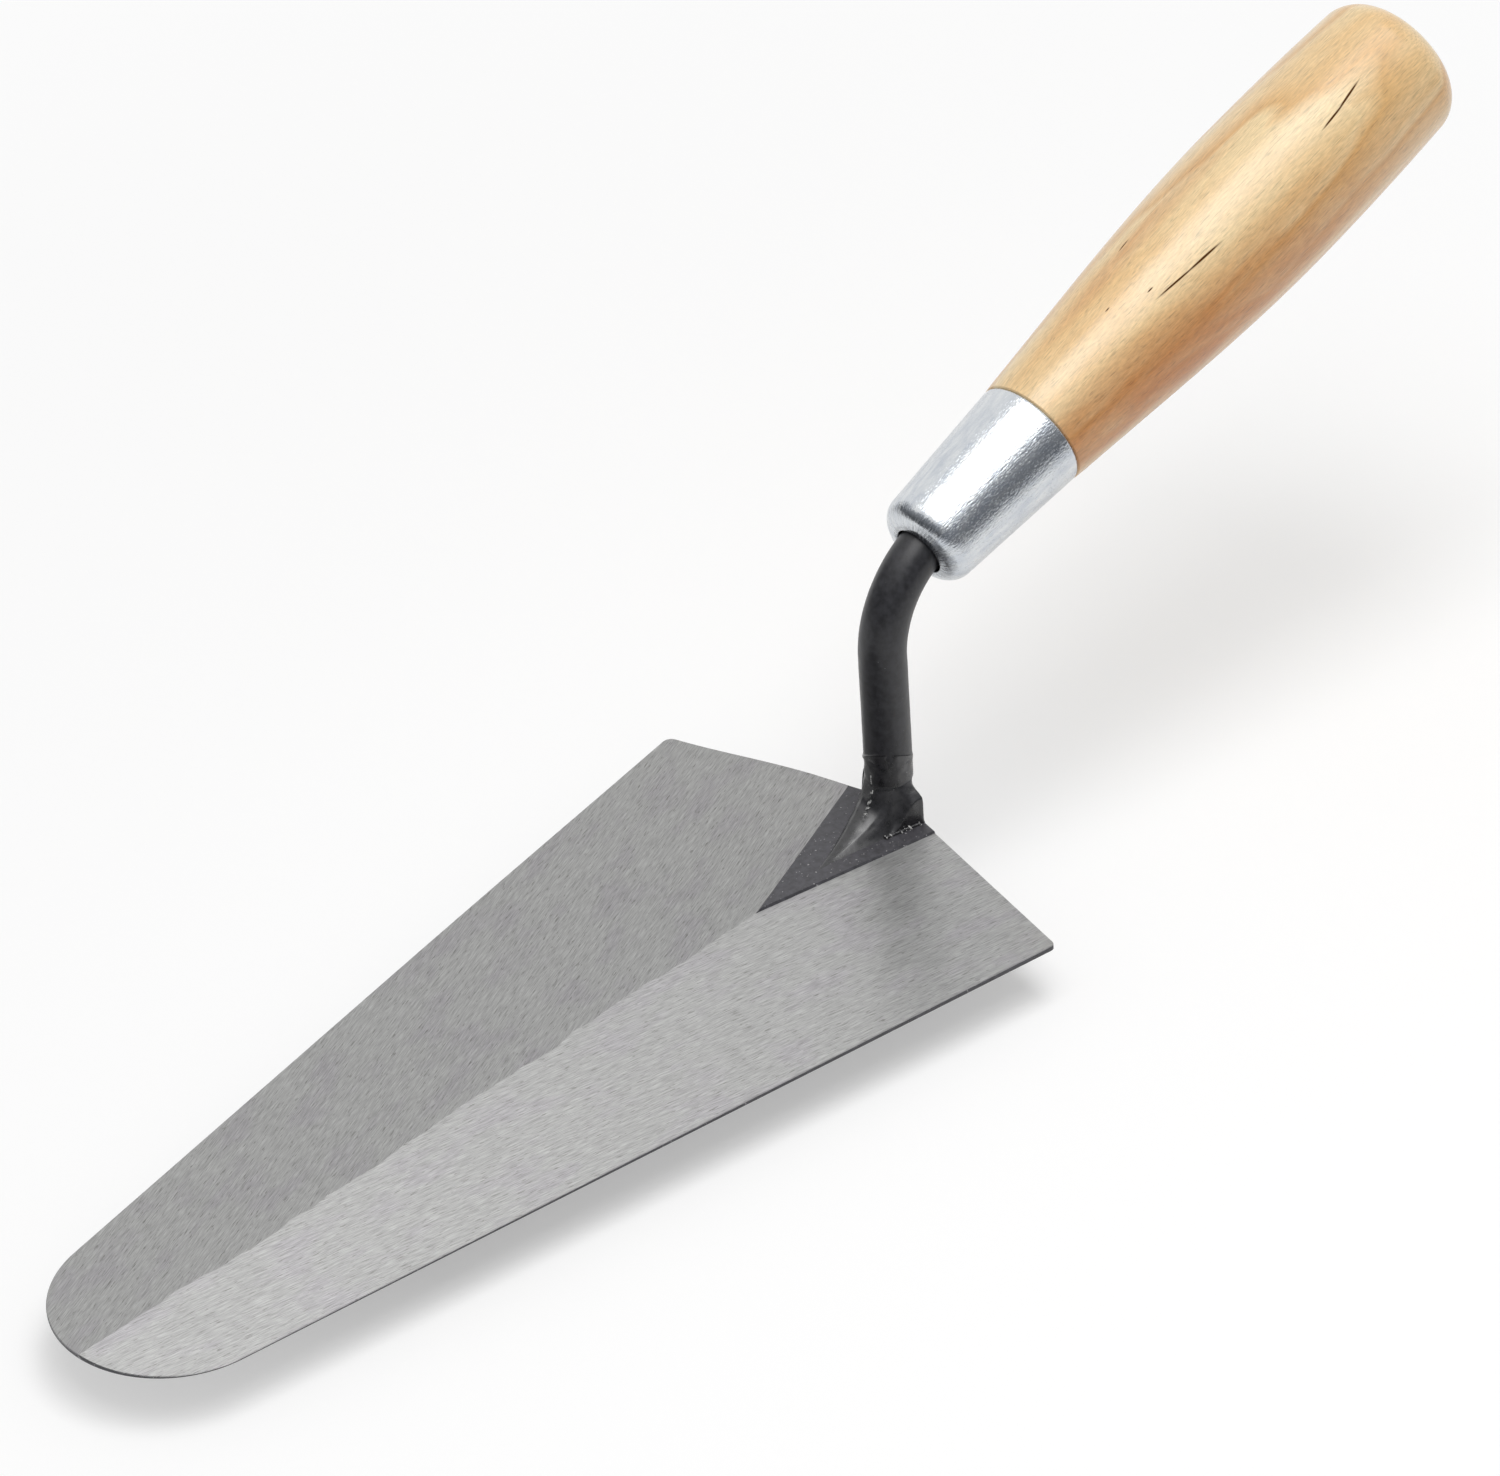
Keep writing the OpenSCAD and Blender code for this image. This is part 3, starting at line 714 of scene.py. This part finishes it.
def makeRodTree():  # a round rod swept along a bent path, thinner past the end of the bend
    tree, given = newTree("bentRod", (
        ("Rod radius", "Float"), ("Bend radius", "Float"), ("Thin from", "Float"),
        ("Thin share", "Float"), ("Unevenness", "Float"), ("Finish", "Material")))
    bent = addNode(tree, "GeometryNodeFilletCurve", {
        "Curve": given["Geometry"], "Count": 40, "Radius": given["Bend radius"], "Limit Radius": True},
        mode="POLY")
    fine = addNode(tree, "GeometryNodeResampleCurve", {"Curve": bent, "Length": 0.8 * mm}, mode="LENGTH")
    along = addNode(tree, "GeometryNodeSplineParameter").outputs["Length"]
    past = addNode(tree, "ShaderNodeMath", {0: along, 1: given["Thin from"]}, operation="GREATER_THAN")
    share = addNode(tree, "ShaderNodeMapRange", {"Value": past, "To Min": 1.0, "To Max": given["Thin share"]})
    sized = addNode(tree, "GeometryNodeSetCurveRadius", {"Curve": fine, "Radius": share})
    ring = addNode(tree, "GeometryNodeCurvePrimitiveCircle", {
        "Resolution": 56, "Radius": given["Rod radius"]})
    swept = addNode(tree, "GeometryNodeCurveToMesh", {
        "Curve": sized, "Profile Curve": ring, "Fill Caps": True})
    waves = addNode(tree, "ShaderNodeTexNoise", {"Scale": 190, "Detail": 2, "Roughness": 0.5})
    centred = addNode(tree, "ShaderNodeMath", {0: waves, 1: 0.5}, operation="SUBTRACT")
    depth = addNode(tree, "ShaderNodeMath", {0: centred, 1: given["Unevenness"]}, operation="MULTIPLY")
    push = addNode(tree, "ShaderNodeVectorMath", {
        0: addNode(tree, "GeometryNodeInputNormal"), 3: depth}, operation="SCALE")
    rough = addNode(tree, "GeometryNodeSetPosition", {"Geometry": swept, "Offset": push})
    flat = addNode(tree, "GeometryNodeInputMeshEdgeAngle").outputs["Unsigned Angle"]
    soft = addNode(tree, "FunctionNodeCompare", {0: flat, 1: 0.9}, operation="LESS_THAN", data_type="FLOAT")
    smooth = addNode(tree, "GeometryNodeSetShadeSmooth", {
        "Geometry": addNode(tree, "GeometryNodeSetShadeSmooth", {"Geometry": rough}), "Shade Smooth": soft},
        domain="EDGE")
    real = addNode(tree, "GeometryNodeRealizeInstances", {"Geometry": smooth})
    done = addNode(tree, "GeometryNodeSetMaterial", {"Geometry": real, "Material": given["Finish"]})
    addNode(tree, "NodeGroupOutput", {"Geometry": done})
    return tree


shankShape = dict(  # the crank is where the two straight runs would meet
    radius=3.9, bendRadius=17, crankHeight=45.2, handleRise=17.2,  # degrees
    tangRadius=3.8, tangEnd=97.3, unevenness=0.12)
rise = math.radians(shankShape["handleRise"])
crank = Vector((0, 0, shankShape["crankHeight"]))
axis = Vector((-math.cos(rise), 0, math.sin(rise)))
upward = Vector((math.sin(rise), 0, math.cos(rise)))
sideways = Vector((0, 1, 0))


def onAxis(along, radius=0, turn=0):  # a point about the grip's axis, turn from its top towards +Y
    return crank + axis * along + (upward * math.cos(turn) + sideways * math.sin(turn)) * radius


def makeShank():
    s = shankShape
    bendRun = s["bendRadius"] * math.tan((math.pi / 2 - rise) / 2)
    bendLength = s["bendRadius"] * (math.pi / 2 - rise)
    thinFrom = crank.z - seamZ - bendRun + bendLength
    return pathPiece("shank", [(0, 0, seamZ), crank, onAxis(s["tangEnd"])], False, makeRodTree(), {
        "Rod radius": s["radius"] * mm, "Bend radius": s["bendRadius"] * mm, "Thin from": thinFrom * mm,
        "Thin share": s["tangRadius"] / s["radius"], "Unevenness": s["unevenness"] * mm,
        "Finish": blackLacquer})


shank = makeShank()
place(shank, "black_steel", "shank")
print("shank made", len(shank.data.polygons))


def makeWeldTree():  # a bead swept along a path, with lapped ripples on it
    tree, given = newTree("weldBead", (
        ("Bead radius", "Float"), ("Ripple pitch", "Float"), ("Ripple size", "Vector"),
        ("Ripple lean", "Float"), ("Uneven", "Float"), ("Finish", "Material"),
        ("Ridge finish", "Material")))
    fine = addNode(tree, "GeometryNodeResampleCurve", {
        "Curve": given["Geometry"], "Length": 0.3 * mm}, mode="LENGTH")
    ring = addNode(tree, "GeometryNodeCurvePrimitiveCircle", {
        "Resolution": 12, "Radius": given["Bead radius"]})
    tube = addNode(tree, "GeometryNodeCurveToMesh", {"Curve": fine, "Profile Curve": ring, "Fill Caps": True})
    spaced = addNode(tree, "GeometryNodeResampleCurve", {
        "Curve": given["Geometry"], "Length": given["Ripple pitch"]}, mode="LENGTH")
    aligned = addNode(tree, "FunctionNodeAlignRotationToVector", {
        "Vector": addNode(tree, "GeometryNodeInputTangent")}, axis="X")
    lean = addNode(tree, "ShaderNodeCombineXYZ", {"Y": given["Ripple lean"]})
    turned = addNode(tree, "FunctionNodeRotateRotation", {
        "Rotation": aligned, "Rotate By": addNode(tree, "FunctionNodeEulerToRotation", {0: lean})},
        rotation_space="LOCAL")
    vary = addNode(tree, "FunctionNodeRandomValue", {2: 0.75, 3: 1.25, "Seed": 4}, data_type="FLOAT")
    size = addNode(tree, "ShaderNodeVectorMath", {
        0: given["Ripple size"], 3: vary.outputs[1]}, operation="SCALE")
    ball = addNode(tree, "GeometryNodeMeshIcoSphere", {"Radius": 1.0, "Subdivisions": 3})
    marked = addNode(tree, "GeometryNodeStoreNamedAttribute", {
        "Geometry": ball, "Name": "ridge", "Value": True}, data_type="BOOLEAN", domain="FACE")
    lapped = addNode(tree, "GeometryNodeInstanceOnPoints", {
        "Points": spaced, "Instance": marked, "Rotation": turned, "Scale": size})
    joined = addNode(tree, "GeometryNodeJoinGeometry", {"Geometry": tube})
    tree.links.new(lapped.outputs[0], joined.inputs[0])
    real = addNode(tree, "GeometryNodeRealizeInstances", {"Geometry": joined})
    waves = addNode(tree, "ShaderNodeTexNoise", {"Scale": 900, "Detail": 2})
    centred = addNode(tree, "ShaderNodeMath", {0: waves, 1: 0.5}, operation="SUBTRACT")
    depth = addNode(tree, "ShaderNodeMath", {0: centred, 1: given["Uneven"]}, operation="MULTIPLY")
    push = addNode(tree, "ShaderNodeVectorMath", {
        0: addNode(tree, "GeometryNodeInputNormal"), 3: depth}, operation="SCALE")
    rough = addNode(tree, "GeometryNodeSetPosition", {"Geometry": real, "Offset": push})
    smooth = addNode(tree, "GeometryNodeSetShadeSmooth", {"Geometry": rough})
    plain = addNode(tree, "GeometryNodeSetMaterial", {"Geometry": smooth, "Material": given["Finish"]})
    ridge = addNode(tree, "GeometryNodeInputNamedAttribute", {"Name": "ridge"}, data_type="BOOLEAN")
    done = addNode(tree, "GeometryNodeSetMaterial", {
        "Geometry": plain, "Selection": ridge, "Material": given["Ridge finish"]})
    addNode(tree, "NodeGroupOutput", {"Geometry": done})
    return tree


weldShape = dict(
    # the foot's bead: radius, height over the pad, its ripples' spacing, half sizes and lean
    bead=0.3, lift=0.12, pitch=0.8, ripple=(0.17, 0.46, 0.54), lean=35, uneven=0.12, reach=(-0.4, 6.5),
    # the seam's ring: radius, how far it stands out, and a fuller stretch on one side
    seamBead=0.5, seamOut=0.02, seamBulge=0.2, bulgeTurn=-45, seamRipple=(0.3, 0.42, 0.3), seamPitch=1.7,
    seamNotch=0.55, seamNotchTurn=0.13,  # the ring sinks at the foot's small hole
    seamWander=0.2, seamSteps=120)


def makeWelds():
    s = weldShape
    tree = makeWeldTree()
    base = footBase + s["lift"]
    start, end = s["reach"]
    side = footOutline()[footShape["rearSteps"]::3]
    path = [(x, y + max(x, 0) * noseLean, base) for x, y in side if start < x < end]
    # the foot weld's ripples take the pale finish: bare weld metal and a painted highlight
    sizes = {
        "Bead radius": s["bead"] * mm, "Ripple pitch": s["pitch"] * mm,
        "Ripple size": [v * mm for v in s["ripple"]], "Ripple lean": math.radians(s["lean"]),
        "Uneven": s["uneven"] * mm, "Finish": thickLacquer, "Ridge finish": weldBareAndGlint}
    footWeld = pathPiece("footWeld", path, False, tree, sizes)
    circle = []
    for i in range(s["seamSteps"]):  # fuller on one side, nearly flush on the other
        t = 2 * math.pi * i / s["seamSteps"]
        bulge = s["seamBulge"] * max(0, math.cos(t - math.radians(s["bulgeTurn"]))) ** 2
        atPit = (t - math.radians(footShape["pitTurn"])) / s["seamNotchTurn"]
        bulge -= s["seamNotch"] * math.exp(-atPit ** 2)
        away = shankShape["radius"] - s["seamBead"] + s["seamOut"] + bulge
        height = seamZ + seamHeight(t) + s["seamWander"] * math.sin(3 * t)
        circle.append((away * math.cos(t), away * math.sin(t), height))
    sizes.update({
        "Bead radius": s["seamBead"] * mm, "Ripple pitch": s["seamPitch"] * mm,
        "Ripple size": [v * mm for v in s["seamRipple"]], "Ridge finish": thickLacquer})
    seamWeld = pathPiece("seamWeld", circle, True, tree, sizes)
    return footWeld, seamWeld


footWeld, seamWeld = makeWelds()
place(footWeld, "black_steel", "foot_weld")
place(seamWeld, "black_steel", "seam_weld")
print("welds made", len(footWeld.data.polygons), len(seamWeld.data.polygons))


def turnedPiece(name, profile, zero, material, segments=128, smoothAngle=35):
    # a piece turned about the grip's axis. Its profile holds (distance along the axis, radius),
    # and a radius of 0 closes an end
    points, faces, rings = [], [], []
    for along, radius in profile:
        steps = segments if radius > 1e-6 else 1
        rings.append(list(range(len(points), len(points) + steps)))
        points += [onAxis(along, radius, 2 * math.pi * j / segments) for j in range(steps)]
    closed = profile[0][1] > 1e-6
    pairs = list(zip(rings, rings[1:])) + ([(rings[-1], rings[0])] if closed else [])
    for a, b in pairs:
        for j in range(segments):
            k = (j + 1) % segments
            ends = ([a[j], a[k]] if len(a) > 1 else [a[0]]) + ([b[k], b[j]] if len(b) > 1 else [b[0]])
            faces.append(ends)
    piece = meshPiece(name, points, faces, [material], smoothAngle)

    def unrolled(face, point):  # round and along the axis
        turns = []
        for p in (face.center / mm, point):
            turns.append(math.atan2((p - crank).dot(sideways), (p - crank).dot(upward)))
        turn = turns[1]
        while turn - turns[0] > math.pi:
            turn -= 2 * math.pi
        while turn - turns[0] < -math.pi:
            turn += 2 * math.pi
        return turn * woodMarks["mapRadius"], (point - crank).dot(axis) - zero

    paintMap(piece, "turned", unrolled)
    grain = piece.data.attributes.new("grain", "FLOAT_VECTOR", "POINT")
    for i, vertex in enumerate(piece.data.vertices):
        p = vertex.co / mm - crank
        grain.data[i].vector = (p.dot(upward), p.dot(sideways), p.dot(axis) - zero)
    return piece


ferruleShape = dict(
    start=9.3, length=28, mouthRadius=8.3, backRadius=9.75, wall=0.9, holeRadius=4.3,
    throatRadius=4.1, lip=0.3, collar=1.8, steps=10,
    holeDown=0.3, holeRight=0.1,  # the hole is punched a little off the middle
    holeEase=(0.8, 0.6),  # so far out over the mouth, and in from it, the punching draws the lip
    curl=0.7, curlDrop=0.22, curlSteps=5)  # the back edge is turned in a little


def makeFerrule():
    s = ferruleShape
    lip = s["lip"]
    lipCentre = (s["holeRadius"] + lip, lip)
    rounding = s["mouthRadius"] - lipCentre[0]
    centre = (lipCentre[0], rounding)
    back = s["backRadius"]
    section = arc(centre, rounding, 0, -90, 2 * s["steps"])
    section += arc(lipCentre, lip, -90, -180, s["steps"])[1:]
    section += [(s["throatRadius"], s["collar"]), (lipCentre[0], s["collar"])]
    section += arc(centre, rounding - s["wall"], -90, 0, s["steps"])
    section += [(back - s["wall"], s["length"]), (back - s["curlDrop"], s["length"])]
    for i in range(s["curlSteps"] + 1):
        u = i / s["curlSteps"]
        section.append((back - s["curlDrop"] * (1 - u) ** 2, s["length"] - s["curl"] * u))
    piece = turnedPiece(
        "ferrule", [(s["start"] + along, radius) for radius, along in section], s["start"] + s["length"],
        brightZinc)
    for vertex in piece.data.vertices:
        p = vertex.co / mm - crank
        along = p.dot(axis) - s["start"]
        radius = (p - axis * p.dot(axis)).length
        share = 1 - easeIn(s["holeRadius"], lipCentre[0] + s["holeEase"][0], radius)
        share *= 1 - easeIn(s["holeEase"][1], s["collar"], along)
        vertex.co += (sideways * s["holeRight"] - upward * s["holeDown"]) * share * mm
    return piece


ferrule = makeFerrule()
place(ferrule, "zinc_plated_steel", "ferrule")
print("ferrule made")

gripShape = dict(  # from the ferrule's back edge, but boreEnd and entryEnd are from the crank
    length=94.79, peak=58, peakRadius=13.7, frontRadius=9.9, frontTaper=0.08, buttRadius=12.95,
    buttRounding=5.5, crown=0.8, tenonStart=-24.6, boreRadius=3.85, boreEnd=97.7,
    entryRadius=3.95, entryEnd=12.93, frontEase=0.35, tenonClearance=0.05,
    steps=28, buttSteps=16, crownSteps=12)


def makeGrip():
    s, f = gripShape, ferruleShape
    zero = f["start"] + f["length"]
    rounding = f["mouthRadius"] - f["holeRadius"] - f["lip"]

    def tenonRadius(d):  # just inside the ferrule's wall
        u = (d + f["length"] - rounding) / (f["length"] - rounding)
        bore = f["mouthRadius"] + (f["backRadius"] - f["mouthRadius"]) * u - f["wall"]
        return bore - s["tenonClearance"]

    def swell(u):
        return ((2 * u ** 3 - 3 * u ** 2 + 1) * s["frontRadius"]
                + (u ** 3 - 2 * u ** 2 + u) * s["frontTaper"] * s["peak"]
                + (3 * u ** 2 - 2 * u ** 3) * s["peakRadius"])

    barrelEnd = s["length"] - s["crown"] - s["buttRounding"]
    edge = s["buttRadius"] - s["buttRounding"]
    start = s["tenonStart"]
    profile = [(s["boreEnd"] - zero, 0), (s["boreEnd"] - zero, s["boreRadius"]),
               (s["entryEnd"] - zero, s["boreRadius"]), (s["entryEnd"] - zero, s["entryRadius"]),
               (start, s["entryRadius"]), (start, tenonRadius(start)), (0, tenonRadius(0)),
               (0, s["frontRadius"] - s["frontEase"])]
    profile += [(s["frontEase"] * (1 - math.cos(a)), s["frontRadius"] - s["frontEase"] * (1 - math.sin(a)))
                for a in (math.radians(t) for t in (30, 60))]
    for i in range(1, s["steps"] + 1):
        u = i / s["steps"]
        profile.append((u * s["peak"], swell(u)))
    for i in range(1, s["steps"] + 1):
        u = i / s["steps"]
        profile.append((
            s["peak"] + u * (barrelEnd - s["peak"]),
            s["peakRadius"] - (s["peakRadius"] - s["buttRadius"]) * u * u))
    butt = arc((edge, barrelEnd), s["buttRounding"], 0, 90, s["buttSteps"])
    profile += [(y, x) for x, y in butt[1:]]
    for i in range(1, s["crownSteps"] + 1):
        u = 1 - i / s["crownSteps"]
        profile.append((barrelEnd + s["buttRounding"] + s["crown"] * (1 - u * u), edge * u))
    return turnedPiece("grip", [(zero + along, radius) for along, radius in profile], zero, lacqueredBirch)


grip = makeGrip()
place(grip, "lacquered_hardwood", "handle")
print("grip made")

studio = dict(
    floorRadius=9000, floorSides=96, floorDrop=9.0, whiteFrom=120, whiteTo=420, whiteShare=0.33,
    # glowing sheets, seen only in reflections, that paint the reflection of a dark surround: the
    # corners of their feet, the heights of their lower and upper edges, and their levels there.
    # One with four corners lies flat in front and stands up at its back
    flags=(("sideFlag", ((600, 270), (600, 420), (-800, 420), (-800, 270)), 0, 490, (0.2, 0.5)),
           ("frontFlag", ((600, 700), (600, -600)), 0, 640, (0.12, 0.4)),
           ("leftFlag", ((600, -600), (80, -600)), 0, 500, (0.12, 0.4))),
    # softbox and the hotter middle of it: place, size along x and y, radiance
    lamps=(("softbox", (70, 215, 1000), (860, 820), 2.4),
           ("softboxMiddle", (-100, 110, 995), (440, 440), 2.9)),
    flagDark=0.3, ambient=0.45)  # a sheet keeps its lower level up to this share of its height


def seenDirectly(tree):  # 1 for rays from the camera and through mirrors, 0 for light
    rays = addNode(tree, "ShaderNodeLightPath").outputs
    both = addNode(tree, "ShaderNodeMath", {0: rays["Is Camera Ray"], 1: rays["Is Glossy Ray"]})
    return addNode(tree, "ShaderNodeMath", {
        0: both, 1: rays["Is Transmission Ray"]}, operation="ADD", use_clamp=True)


def makeFloor():
    # Matt white paper, lit from above: it takes the shadows near the trowel and turns to plain
    # white away from it
    s = studio
    material, tree = newMaterial("whitePaper")
    where = addNode(tree, "ShaderNodeTexCoord").outputs["Object"]
    far = addNode(tree, "ShaderNodeVectorMath", {0: where}, operation="LENGTH").outputs["Value"]
    fade = addNode(tree, "ShaderNodeMapRange", {
        "Value": far, "From Min": s["whiteFrom"] * mm, "From Max": s["whiteTo"] * mm,
        "To Min": s["whiteShare"], "To Max": 1.0})
    share = addNode(tree, "ShaderNodeMath", {0: seenDirectly(tree), 1: fade}, operation="MULTIPLY")
    paper = addNode(tree, "ShaderNodeBsdfDiffuse", {"Color": linearColour("#fcfcfc")})
    white = addNode(tree, "ShaderNodeEmission", {"Color": (1, 1, 1, 1), "Strength": 1.0})
    mixed = addNode(tree, "ShaderNodeMixShader", {0: share, 1: paper, 2: white})
    addNode(tree, "ShaderNodeOutputMaterial", {"Surface": mixed})
    rim = arc((0, 0), s["floorRadius"], 0, 360, s["floorSides"])[:-1]
    floor = meshPiece("floor", [(*p, -s["floorDrop"]) for p in rim], [list(range(len(rim)))], [material])


def makeFlag(name, feet, low, high, levels):
    # A sheet that glows, darker low down: a painted reflection of a dark surround, seen in
    # metal and lacquer, but it shades nothing
    material, tree = newMaterial(name)
    where = addNode(tree, "ShaderNodeTexCoord").outputs["Object"]
    height = addNode(tree, "ShaderNodeSeparateXYZ", {0: where}).outputs["Z"]
    level = addNode(tree, "ShaderNodeMapRange", {
        "Value": height, "From Min": studio["flagDark"] * high * mm, "From Max": high * mm,
        "To Min": levels[0], "To Max": levels[1]})
    glow = addNode(tree, "ShaderNodeEmission", {"Color": linearColour("#f4f8ff"), "Strength": level})
    addNode(tree, "ShaderNodeOutputMaterial", {"Surface": glow})
    lyingDown = len(feet) == 4
    corners = [(*foot, low) for foot in feet]
    corners += [(*foot, high) for foot in (feet[1:3] if lyingDown else feet)]
    faces = [[0, 1, 2, 3], [1, 2, 5, 4]] if lyingDown else [[0, 1, 3, 2]]
    flag = meshPiece(name, corners, faces, [material])
    flag.visible_camera = flag.visible_diffuse = flag.visible_shadow = False


def makeStudio():
    s = studio
    scene = bpy.context.scene
    makeFloor()
    for flag in s["flags"]:
        makeFlag(*flag)
    for name, where, size, radiance in s["lamps"]:
        light = bpy.data.lights.new(name, "AREA")
        light.shape = "RECTANGLE"
        light.size, light.size_y = [v * mm for v in size]
        light.energy = radiance * math.pi * light.size * light.size_y
        lamp = bpy.data.objects.new(name, light)
        lamp.location = Vector(where) * mm
        scene.collection.objects.link(lamp)

    world = bpy.data.worlds.new("studio")
    scene.world = world
    world.use_nodes = True
    tree = world.node_tree
    tree.nodes.clear()
    level = addNode(tree, "ShaderNodeMapRange", {
        "Value": seenDirectly(tree), "To Min": s["ambient"], "To Max": 1.0})
    sky = addNode(tree, "ShaderNodeBackground", {"Color": (1, 1, 1, 1), "Strength": level})
    addNode(tree, "ShaderNodeOutputWorld", {"Surface": sky})
    scene.view_settings.view_transform = "Standard"


makeStudio()
print("studio made")
